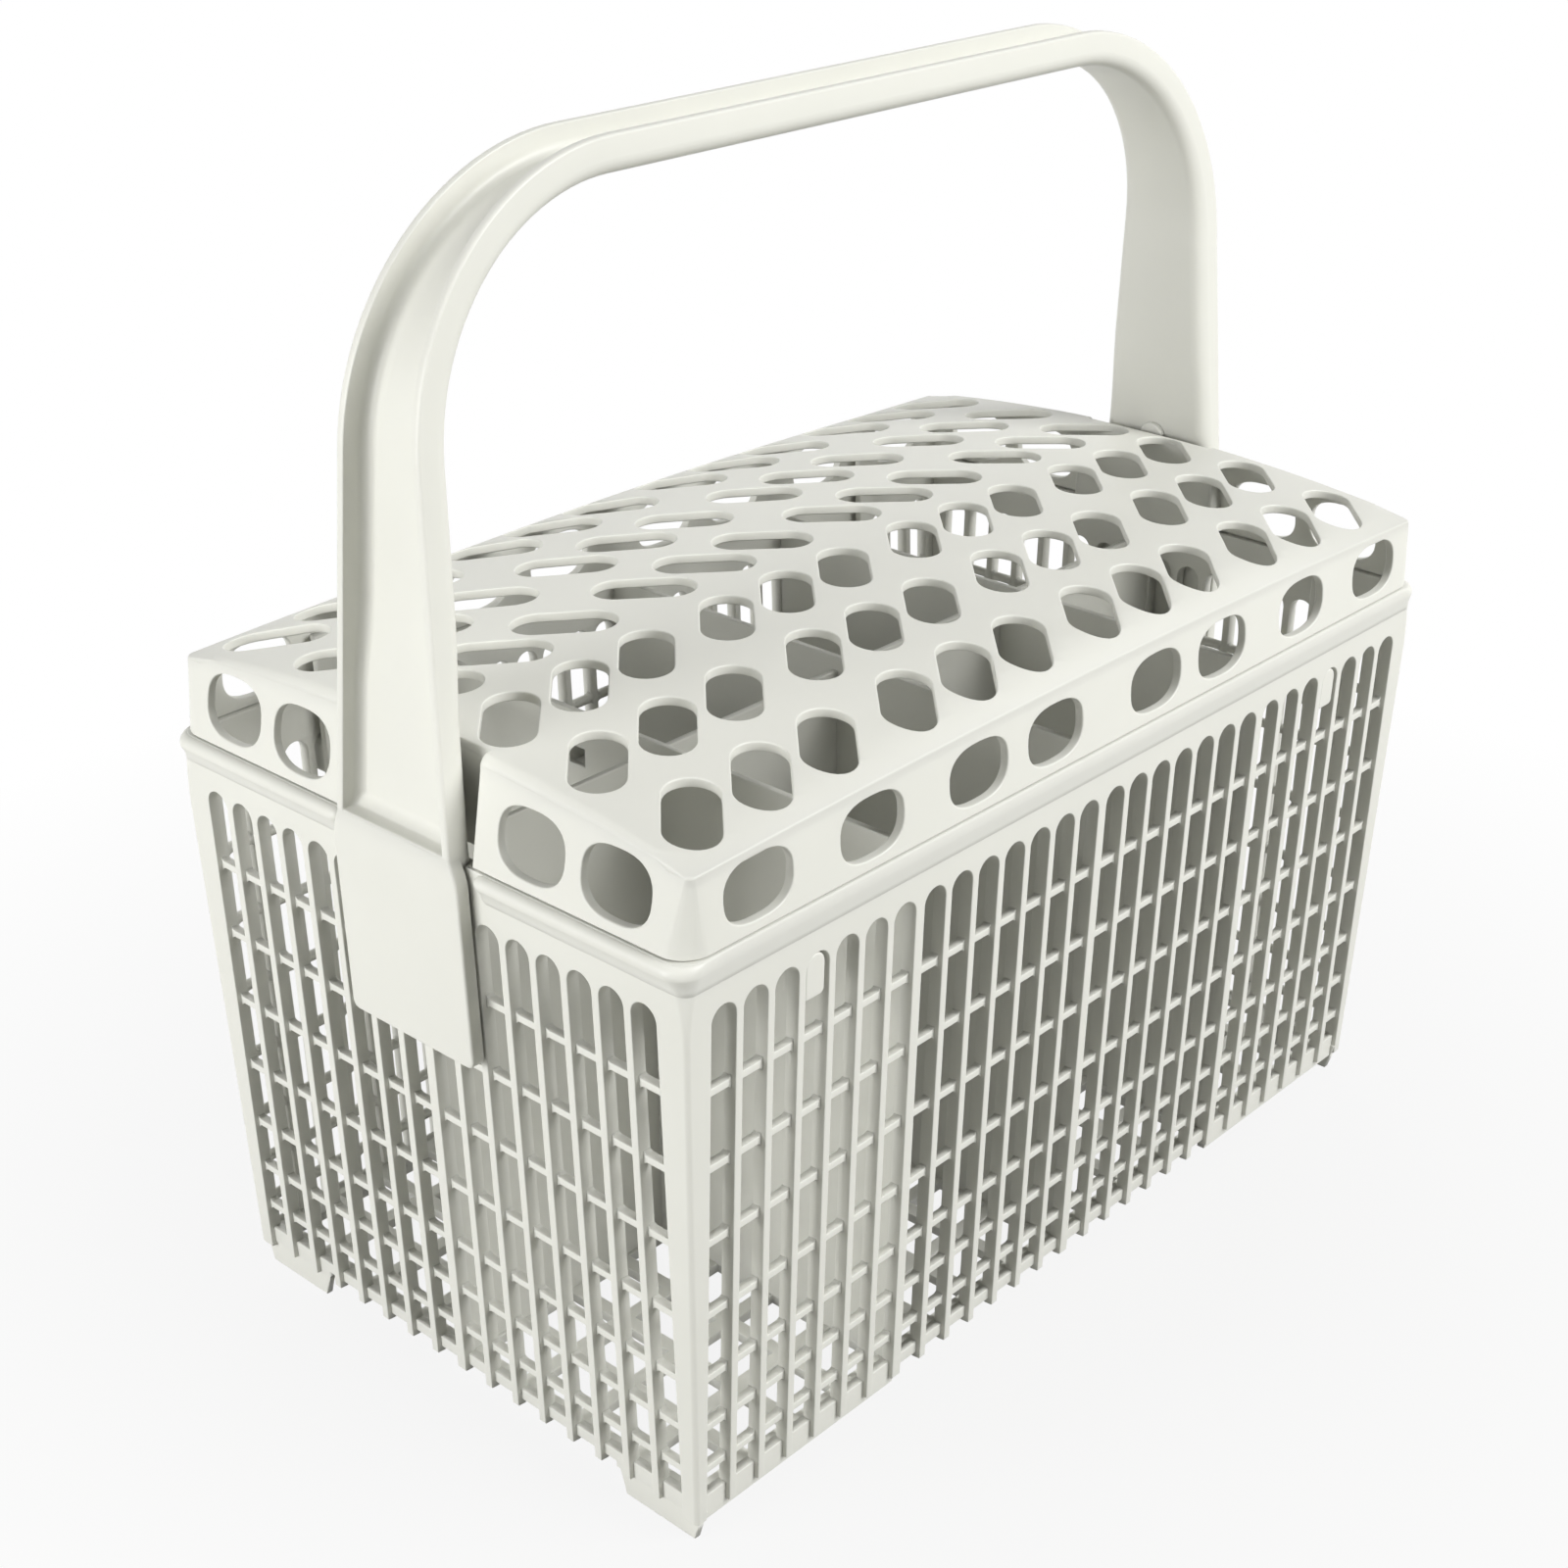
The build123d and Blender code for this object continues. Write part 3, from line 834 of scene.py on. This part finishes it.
@dataclass
class DomedLid(Moulding):
    """The lid: a crowned top with slanted slots, a skirt with flatted holes, and snap tabs.

    Attributes:
        half_length: Half length of the skirt at the rim.
        half_width: Half width of the skirt at the rim.
        corner: Radius of the vertical corners at the rim.
        corner_top: Their radius near the top.
        corner_rise: Height over which they tighten.
        end_lean: Inward lean of the end skirts per millimetre up.
        side_lean: Inward lean of the long skirts per millimetre up.
        wall: Thickness of the lid.
        gap: Gap between the skirt and the rim.
        bow_along: Twice the crown's radius along the basket.
        bow_across: Twice the crown's radius across it.
        slot_width: Width of a slanted slot.
        slot_length: Length of a slanted slot.
        notch: Half width of the gap for the handle's foot.
        notch_face: Distance of the top's edge in that gap from the middle.
    """

    half_length: float = 117.05
    half_width: float = 70.05
    corner: float = 6.0
    corner_top: float = 1.8
    corner_rise: float = 15.0
    end_lean: float = 3.0 / 17.3
    side_lean: float = 1.1 / 17.3
    wall: float = 2.0
    gap: float = 0.25
    bow_along: float = 3280.0
    bow_across: float = 900.0
    slot_width: float = 10.4
    slot_length: float = 21.0
    notch: float = 17.4
    notch_face: float = 111.2

    @property
    def flat(self) -> float:
        """Half length of the front's straight part."""
        return self.half_length - self.corner

    @property
    def bend(self) -> float:
        """Length of a corner along the lower outline."""
        return self.corner * math.pi / 2

    @property
    def end(self) -> float:
        """Distance along the lower outline from the front's middle to an end's middle."""
        return self.flat + self.bend + self.half_width - self.corner

    def crown(self, x: float, y: float) -> float:
        """Gives the top's height.

        Args:
            x: Distance along the basket.
            y: Distance across it.

        Returns:
            Height of the outer surface.
        """
        # The long edges are rounded over the last 9 mm, and less so near the ends.
        start, run, drop, fade = 60.0, 8.95, 2.72, 0.000155
        shoulder = max(abs(y) - start, 0.0) / run
        fall = (drop - x * x * fade) * shoulder ** 2
        # The end edges are rounded over the last 2 mm, further out and less so near the corners.
        start, run, drop, fade, shift = 111.9, 2.0, 2.3, 0.000336, 0.000193
        roll = max(abs(x) - start - y * y * shift, 0.0) / run
        fall += (drop - y * y * fade) * roll ** 2
        return Level.CROWN - x * x / self.bow_along - y * y / self.bow_across - fall

    def skirt(self, s: float, z: float, depth: float) -> Vector:
        """Puts a point of the skirt in place, on the half that runs from notch to notch round the front.

        Args:
            s: Distance along the lower outline from the middle of the front.
            z: Height.
            depth: Distance behind the outer face.

        Returns:
            The point, on the front half.
        """
        up = z - Level.RIM
        radius = self.corner - (self.corner - self.corner_top) * clamp(up / self.corner_rise)
        half_x = self.half_length - self.end_lean * up
        half_y = self.half_width - self.side_lean * up
        run = abs(s)
        if run < self.flat - HAIR:
            x, y = run, depth - half_y
        elif run < self.flat + self.bend + HAIR:
            angle = (run - self.flat) / self.corner
            x = half_x - radius + math.sin(angle) * (radius - depth)
            y = radius - half_y - math.cos(angle) * (radius - depth)
        else:
            x, y = half_x - depth, self.corner - self.half_width + run - self.flat - self.bend
        return Vector((math.copysign(x, s), y, z))

    def crease(self, s: float) -> float:
        """Finds the height where the skirt meets the top.

        Args:
            s: Distance along the lower outline.

        Returns:
            The height.
        """
        first_guess, rounds = 145.0, 8
        z = first_guess
        for _ in range(rounds):
            point = self.skirt(s, z, 0.0)
            z = self.crown(point.x, point.y)
        return z

    def stations(self) -> list[float]:
        """Lists where the crease is sampled along one half of the outline.

        Returns:
            Distances along the lower outline.
        """
        front_steps, bend_steps, end_steps = 16, 8, 12
        turned = self.flat + self.bend
        rest = self.end - self.notch - self.flat - self.bend
        right = [self.flat * step / front_steps for step in range(1, front_steps + 1)]
        right += [self.flat + self.bend * step / bend_steps for step in range(1, bend_steps + 1)]
        right += [turned + rest * step / end_steps for step in range(1, end_steps + 1)]
        return [-run for run in reversed(right)] + [0.0] + right

    def slot_loops(self) -> list[list[Point]]:
        """Draws the slanted slots.

        Returns:
            Counter-clockwise loops in plan.
        """
        half = self.slot_width / 2
        reach = (self.slot_length - self.slot_width) / 2
        loop = arc((reach, 0), half, -90, 180, 14) + arc((-reach, 0), half, 90, 180, 14)
        loops = []
        for group in GRID.group_middles(GRID.long_groups, GRID.long_slots):
            for column in (-17.15, 0.0, 17.15):
                for row in (11.3, 33.9, 56.5):
                    for side in (-1, 1):
                        turn = math.radians(-side * 45)
                        cos, sin = math.cos(turn), math.sin(turn)
                        loops.append([(group + column + u * cos - v * sin, side * row + u * sin + v * cos)
                                      for u, v in loop])
        return loops

    def top_grid(self, front: list[Point], outline: list[Point], holes: list[list[Point]]) -> list[Point]:
        """Lists the points that let the top bend: an even net, closer near the edges.

        Args:
            front: Points of the crease on the front half.
            outline: The top's outline.
            holes: Loops of its slots.

        Returns:
            Points in plan.
        """
        pitch, columns, clear, near_hole, margin = 4.1, 27, 1.2, 3.0, 0.6
        boxes = [(*loop_box(hole, near_hole), hole) for hole in holes]
        inner = offset_loop(outline, [margin] * len(outline))
        rows = [row * pitch for row in range(15)] + [59.5, 61.0, 62.5, 64.0, 65.2, 66.3, 67.2, 67.9]
        grid = []
        for column in range(-columns, columns + 1):
            for y in rows[:0:-1] + [-row for row in rows]:
                x = column * pitch
                near = [hole for a, b, c, d, hole in boxes if a < x < b and c < y < d]
                close = any((x - u) ** 2 + (y - v) ** 2 < clear for hole in near for u, v in hole)
                if not close and inside((x, y), inner) and not any(inside((x, y), hole) for hole in near):
                    grid.append((x, y))
        last = [(x - math.copysign(inset, x), side * y) for x, y in front for inset in (0.7, 1.1, 1.5, 1.9)
                for side in (-1, 1) if abs(y) < self.half_width - self.corner]
        return grid + [point for point in last if inside(point, inner)]

    def top(self) -> None:
        """Adds the crowned top."""
        creases = [self.skirt(s, self.crease(s), 0.0) for s in self.stations()]
        front = [(point.x, point.y) for point in creases]
        edge = [(front[-1][0] - inset, -self.notch) for inset in (0.35, 0.75, 1.2, 1.7)]
        edge.append((self.notch_face, -self.notch))
        outline = front + edge + [(x, -y) for x, y in reversed(front + edge)]
        outline += [(-x, -y) for x, y in edge] + [(-x, y) for x, y in reversed(edge)]
        holes = self.slot_loops()
        self.plate(
            outline, lambda u, v, d: Vector((u, v, self.crown(u, v) - d)), self.wall,
            holes=holes, grid=self.top_grid(front, outline, holes),
        )

    def skirt_holes(self) -> list[list[Point]]:
        """Draws the flatted holes of one half of the skirt.

        Returns:
            Counter-clockwise loops in the distance along the outline and the height.
        """
        # Each hole's height above the rim, half width and half height.
        long_hole, end_hole = (8.25, 8.5, 5.95), (8.85, 8.4, 6.5)
        half_outer, half_inner = 14.6, 11.6
        middles = GRID.group_middles(GRID.long_groups, GRID.long_slots)
        spots = []
        for middle in middles:
            half = half_outer if middle in (middles[0], middles[-1]) else half_inner
            spots += [(middle - half, *long_hole), (middle + half, *long_hole)]
        for y in (31.7, 52.6):
            spots += [(self.end - y, *end_hole), (y - self.end, *end_hole)]
        # An exponent of 2 would give an ellipse, and a higher one flattens the sides.
        exponent, steps = 2.6, 40
        power = 2 / exponent
        loops = []
        for spot, height, half_u, half_v in spots:
            loop = []
            for step in range(steps):
                cos, sin = math.cos(math.tau * step / steps), math.sin(math.tau * step / steps)
                loop.append((spot + half_u * math.copysign(abs(cos) ** power, cos),
                             Level.RIM + height + half_v * math.copysign(abs(sin) ** power, sin)))
            loops.append(loop)
        return loops

    def skirts(self) -> None:
        """Adds the two halves of the skirt, each just under the edge of the top."""
        under, slack = 0.05, 0.1
        stations = self.stations()
        low = [(s, Level.RIM + self.gap) for s in stations]
        high = [(s, self.crease(s) - under) for s in reversed(stations)]
        count = len(low)
        ties = [(index, 2 * count - 1 - index) for index, s in enumerate(stations)
                if self.flat - slack < abs(s) < self.flat + self.bend + slack]
        for side in (1, -1):
            self.plate(
                low + high, lambda u, v, d, side=side: Vector((1, side, 1)) * self.skirt(u, v, d),
                self.wall, holes=self.skirt_holes(), ties=ties,
            )

    def notches(self) -> None:
        """Adds the walls round the gaps for the handle's feet, a hair behind the edges of top and skirt."""
        behind, lap, inset, back_wall = 0.15, 1.5, 1.0, 1.2
        under, lean, slope = 0.6, 3.0, 1.9
        low = Level.RIM + self.gap
        inner, outer, half = self.notch_face - behind, self.half_length - inset, self.notch + behind
        top = self.crown(inner, half) - under
        back = rectangle(-half - lap, half + lap, low, top)
        cheek = [(inner - inset, low), (outer, low), (outer - lean, top - slope), (inner - inset, top)]
        for end in (-1, 1):
            self.plate(back, lambda u, v, d, end=end: Vector((end * (inner - d), u, v)), back_wall)
            for side in (-1, 1):
                self.plate(
                    cheek, lambda u, v, d, end=end, side=side: Vector((end * u, side * (half + d), v)),
                    self.wall,
                )

    def tabs(self) -> None:
        """Adds the snap tabs' hooks, which fill the heads of four wall slots, and their arms."""
        half, bold, soft = 2.5, 1.2, 0.4
        hook_set, hook_depth, hook_height, hook_shift = 0.15, 5.5, 9.0, 0.45
        arm_set, arm_depth, arm_top = 4.4, 1.8, 140.0
        top = Level.SLOT_TOP - hook_set
        low = top - hook_height
        middle = GRID.group_middles(GRID.long_groups, GRID.long_slots)[-1]
        body = BasketBody()
        for side in (-1, 1):
            place = body.wall_place(True, side)
            for end in (-1, 1):
                centre = end * middle - hook_shift
                hook = arc((centre + half - bold, low + bold), bold, -90, 90, 5)
                hook += arc((centre, top - half), half, 0, 180, 12)
                hook += arc((centre - half + soft, low + soft), soft, 180, 90, 3)
                self.plate(hook, lambda u, v, d, place=place: place(u, v, d + hook_set), hook_depth, soft)
                arm = rectangle(end * middle - half, end * middle + half, low, arm_top)
                self.plate(arm, lambda u, v, d, place=place: place(u, v, d + arm_set), arm_depth)

    def build(self) -> bpy.types.Object:
        """Makes the lid.

        Returns:
            The object.
        """
        self.top()
        self.skirts()
        self.notches()
        self.tabs()
        return self.mesher.finish("crowned_lid")


@dataclass
class BailHandle(Moulding):
    """The handle: a channel bent into an arch, with a tongue at each foot.

    Attributes:
        foot: Distance of the channel's free edges from the middle, at the rim.
        lean: Inward lean of the legs per millimetre up.
        radius: Outer radius of the arch's shoulders.
        depth: Depth of the channel's section low on the legs.
        extra: Growth of that depth further up.
        web: Thickness of its web.
        flange: Thickness of its flanges.
        bend: Radius from the flanges to the web, outside.
        ledge: Height where the channel ends above a tongue.
        grip_half: Half width at the top of the grip.
        flare: Growth of the half width per millimetre down.
        tongue_half: Half width of a tongue.
        tongue_depth: Thickness of a tongue.
        tongue_low: Height of its lower edge.
        tongue_corner: Radius of its lower corners.
    """

    foot: float = 120.85
    lean: float = 0.046
    radius: float = 50.0
    depth: float = 6.3
    extra: float = 0.9
    web: float = 2.2
    flange: float = 1.9
    bend: float = 3.2
    ledge: float = 130.6
    grip_half: float = 7.7
    flare: float = 0.068
    tongue_half: float = 17.3
    tongue_depth: float = 3.2
    tongue_low: float = 87.0
    tongue_corner: float = 2.0

    def path(self) -> list[tuple[Point, Point]]:
        """Follows the arch's free edges from the left foot to the right one.

        Returns:
            Pairs of a point and the inward direction, in X and Z.
        """
        slope = math.atan(self.lean)
        corner = self.foot - self.lean * (Level.GRIP - Level.RIM)
        turn = math.pi / 2 - slope
        tangent = self.radius * math.tan(turn / 2)
        centre = (corner - tangent, Level.GRIP - self.radius)
        start = Level.GRIP - tangent * math.cos(slope)
        steps = 28
        near_ledge = (-2.4, -1.2, -0.4, 0.0, 0.08, 0.18, 0.35, 0.7, 1.2, 1.8, 2.4, 3.0)
        heights = [self.ledge + rise for rise in near_ledge]
        heights += [137.0, 140.0, 144.0, 150.0, 155.0, 160.0, 165.0, 172.0, 180.0, start - 1.0]
        half = []
        for z in heights:
            point = (self.foot - self.lean * (z - Level.RIM), z)
            half.append((point, (-math.cos(slope), -math.sin(slope))))
        for step in range(steps + 1):
            angle = slope + turn * step / steps
            out = (math.cos(angle), math.sin(angle))
            point = (centre[0] + self.radius * out[0], centre[1] + self.radius * out[1])
            half.append((point, (-out[0], -out[1])))
        half.append(((20.0, Level.GRIP), (0.0, -1.0)))
        left = [((-x, z), (-nx, nz)) for (x, z), (nx, nz) in half]
        return left + list(reversed(half))

    def section(self, point: Point, inward: Point) -> list[Vector]:
        """Draws the channel's section at one place of the arch.

        Args:
            point: Place of the free edges.
            inward: Direction from there to the web.

        Returns:
            Points round the section.
        """
        # The section deepens by a smooth step above the lid.
        start, run = 152.0, 20.0
        deepen = clamp((point[1] - start) / run)
        depth = self.depth + self.extra * deepen * deepen * (3 - 2 * deepen)
        # Above the ledge the channel opens steeply to six tenths of its depth, and then slowly to the whole.
        above = point[1] - self.ledge
        quick, slower, share, shallowest, rounding = 0.35, 2.65, 0.6, 0.05, 2.0
        steep = clamp(above / quick)
        slow = clamp((above - quick) / slower)
        opened = share * steep + (1 - share) * (1 - (1 - slow) ** 2)
        pocket = max((depth - self.web) * opened, shallowest)
        inner = min(rounding, pocket / 2)
        # The lowest rings hide just behind the tongue's face.
        sink = 0.12 if above < -1.0 else 0.0
        edge = -self.flange
        round_out = [(-self.bend * (1 - math.sin(a)), depth - self.bend * (1 - math.cos(a)))
                     for a in (math.radians(15 * step) for step in range(7))]
        outer = [(0.0, 0.55), (-0.16, 0.16), (-0.55, 0.0)]
        lip = [(edge + 0.3, 0.0), (edge, min(0.3, pocket / 3))]
        well = [(edge - inner * (1 - math.cos(a)), pocket - inner * (1 - math.sin(a)))
                for a in (math.radians(22.5 * step) for step in range(5))]
        half = round_out + outer + lip + well
        ring = []
        for side, items in ((1, half), (-1, list(reversed(half)))):
            for across, q in items:
                x = point[0] + inward[0] * (q + sink)
                z = point[1] + inward[1] * (q + sink)
                width = self.grip_half + self.flare * (Level.GRIP - z)
                ring.append(Vector((x, side * (width + across), z)))
        return ring

    def tongues(self) -> None:
        """Adds the plates that hang outside the short walls, and the nubs over the lid."""
        body = BasketBody()
        half, corner, low = self.tongue_half, self.tongue_corner, self.tongue_low + self.tongue_corner
        shoulder = [
            (half, 124.0), (17.18, 125.5), (16.8, 127.0), (16.25, 128.4), (15.85, 129.4), (15.64, 130.2),
        ]
        loop = arc((half - corner, low), corner, -90, 90, 8) + shoulder
        top_edge = len(loop) - 1
        loop += [(-u, v) for u, v in reversed(shoulder)]
        loop += arc((corner - half, low), corner, 180, 90, 8)
        nub_half, nub_low, nub_squash, nub_out, nub_rise = 3.0, 148.4, 0.85, 1.4, 22.0
        nub_depth = 2.0
        nub = [(-nub_half, 0.0), (nub_half, 0.0)] + arc((0, 0.4), nub_half, 8, 164, 10)
        nub = [(u, nub_low + nub_squash * v) for u, v in nub]
        inner = self.foot - self.depth - self.lean * nub_rise - nub_out

        def tongue(u: float, v: float, d: float, end: int) -> Vector:
            """Puts one point of a tongue in place."""
            up = v - Level.RIM
            x = self.foot + (body.draft * up if up < 0 else -self.lean * up)
            return Vector((end * (x - d), end * u, v))

        for end in (-1, 1):
            self.plate(
                loop, lambda u, v, d, end=end: tongue(u, v, d, end), self.tongue_depth, edge=0.55,
                seams=frozenset((top_edge,)),
            )
            self.plate(
                nub, lambda u, v, d, end=end: Vector((end * (inner + d), end * u, v)), nub_depth, edge=0.4,
            )

    def build(self) -> bpy.types.Object:
        """Makes the handle.

        Returns:
            The object.
        """
        self.mesher.sweep([self.section(point, inward) for point, inward in self.path()])
        self.tongues()
        return self.mesher.finish("bail_handle")


@dataclass
class Studio:
    """Camera, lamps and the white sweep that the object stands on.

    Attributes:
        position: Place of the camera, in millimetres.
        azimuth: Compass turn of the view from +Y towards +X, in degrees.
        elevation: Downward tilt of the view, in degrees.
        roll: Turn about the view, in degrees.
        lens: Focal length for a sensor as wide as the next field, in millimetres.
        sensor: Width of the sensor, in millimetres.
        paper: Colour of the floor where it lights the object.
        room: Strength of the light from all round.
        floor_half: Half width of the floor, in metres.
        picture: Width and height of the picture, in pixels.
    """

    position: tuple[float, float, float] = (-368.1, -322.3, 335.5)
    azimuth: float = 47.479
    elevation: float = 26.017
    roll: float = -0.104
    lens: float = 57.67
    sensor: float = 36.0
    paper: str = "#A0A09C"
    room: float = 0.03
    floor_half: float = 3.0
    picture: int = 1600

    def camera(self) -> None:
        """Sets up the camera."""
        data = bpy.data.cameras.new("camera")
        data.sensor_width = self.sensor
        data.lens = self.lens
        data.clip_start = 0.01
        data.clip_end = 20.0
        made = add_object("camera", data)
        turn = Matrix.Rotation(math.radians(-self.azimuth), 4, "Z")
        tilt = Matrix.Rotation(math.radians(90 - self.elevation), 4, "X")
        twist = Matrix.Rotation(math.radians(self.roll), 4, "Z")
        made.matrix_world = Matrix.Translation(Vector(self.position) * MILLIMETRE) @ turn @ tilt @ twist
        bpy.context.scene.camera = made

    def lamp(self, name: str, place: tuple[float, float, float], size: float, power: float,
             gloss: bool) -> None:
        """Adds a soft square lamp that faces the basket.

        Args:
            name: Name of the lamp.
            place: Its place, in metres.
            size: Its width, in metres.
            power: Its power, in watts.
            gloss: True if it is to show in glossy reflections.
        """
        data = bpy.data.lights.new(name, "AREA")
        data.shape = "SQUARE"
        data.size = size
        data.energy = power
        made = add_object(name, data)
        made.visible_glossy = gloss
        made.location = place
        aim = Vector((0, 0, 0.1))
        made.rotation_euler = (aim - Vector(place)).to_track_quat("-Z", "Y").to_euler()

    def sweep(self) -> bpy.types.Object:
        """Makes the floor, which looks white to the camera and keeps a faint shadow under the object.

        Returns:
            The floor.
        """
        mesh = bpy.data.meshes.new("floor")
        corners = rectangle(-self.floor_half, self.floor_half, -self.floor_half, self.floor_half)
        mesh.from_pydata([(x, y, 0) for x, y in corners], [], [(0, 1, 2, 3)])
        made = add_object("floor", mesh)
        white = bpy.data.materials.new("white paper sweep")
        white.use_nodes = True
        tree = white.node_tree
        tree.nodes.clear()
        seen = add_seen(tree)
        place = add_node(tree, "ShaderNodeTexCoord", {})
        reach = add_node(tree, "ShaderNodeVectorMath", {}, {"Vector": place.outputs["Object"]},
                         operation="LENGTH")
        # Near the object about an eighth of what the camera sees is lit paper, which holds the shadow.
        plain = add_node(tree, "ShaderNodeMapRange",
                         {"From Min": 0.1, "From Max": 0.32, "To Min": 0.88, "To Max": 1.0},
                         {"Value": reach.outputs["Value"]})
        share = add_node(tree, "ShaderNodeMath", {}, operation="MULTIPLY")
        tree.links.new(seen, share.inputs[0])
        tree.links.new(plain.outputs["Result"], share.inputs[1])
        paper = add_node(tree, "ShaderNodeBsdfDiffuse", {})
        paper.inputs["Color"].default_value = (*linear(self.paper), 1.0)
        glow = add_node(tree, "ShaderNodeEmission", {"Strength": 1.0})
        both = add_node(tree, "ShaderNodeMixShader", {}, {"Fac": share.outputs["Value"]})
        tree.links.new(paper.outputs[0], both.inputs[1])
        tree.links.new(glow.outputs[0], both.inputs[2])
        out = add_node(tree, "ShaderNodeOutputMaterial", {})
        tree.links.new(both.outputs[0], out.inputs["Surface"])
        mesh.materials.append(white)
        return made

    def world(self) -> None:
        """Sets up the surroundings, which look white and give only a little light."""
        made = bpy.data.worlds.new("white room")
        made.use_nodes = True
        tree = made.node_tree
        tree.nodes.clear()
        room = add_node(tree, "ShaderNodeBackground", {"Strength": self.room})
        sky = add_node(tree, "ShaderNodeBackground", {"Strength": 1.0})
        both = add_node(tree, "ShaderNodeMixShader", {}, {"Fac": add_seen(tree)})
        tree.links.new(room.outputs[0], both.inputs[1])
        tree.links.new(sky.outputs[0], both.inputs[2])
        for node in (room, sky):
            node.inputs["Color"].default_value = (1.0, 1.0, 1.0, 1.0)
        out = add_node(tree, "ShaderNodeOutputWorld", {})
        tree.links.new(both.outputs[0], out.inputs["Surface"])
        bpy.context.scene.world = made

    def build(self) -> None:
        """Sets up the whole stage."""
        self.camera()
        self.lamp("front lamp", (0.35, -1.1, 0.92), size=0.8, power=22.5, gloss=True)
        self.lamp("side lamp", (-0.9, 0.2, 0.3), size=0.5, power=7.2, gloss=True)
        self.lamp("back lamp", (0.8, 0.95, 0.34), size=0.7, power=9.0, gloss=False)
        self.world()
        self.sweep()
        scene = bpy.context.scene
        scene.render.engine = "CYCLES"
        scene.render.resolution_x = self.picture
        scene.render.resolution_y = self.picture
        scene.cycles.samples = 160
        scene.cycles.diffuse_bounces = 2
        scene.cycles.use_denoising = True
        scene.view_settings.view_transform = "Standard"


def main() -> None:
    """Builds the pieces in order, dresses them and sets up the stage."""
    logging.basicConfig(level=logging.INFO)
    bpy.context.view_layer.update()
    plastic = Polypropylene().make()
    for node, maker in (("basket", BasketBody()), ("lid", DomedLid()), ("handle", BailHandle())):
        piece = maker.build()
        piece.data.materials.append(plastic)
        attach(piece, "root")
        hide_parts(node)
        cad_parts[node].data.materials.clear()
        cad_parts[node].data.materials.append(plastic)
        LOG.info("%s has %d faces", piece.name, len(piece.data.polygons))
    Studio().build()


if __name__ == "__main__":
    main()
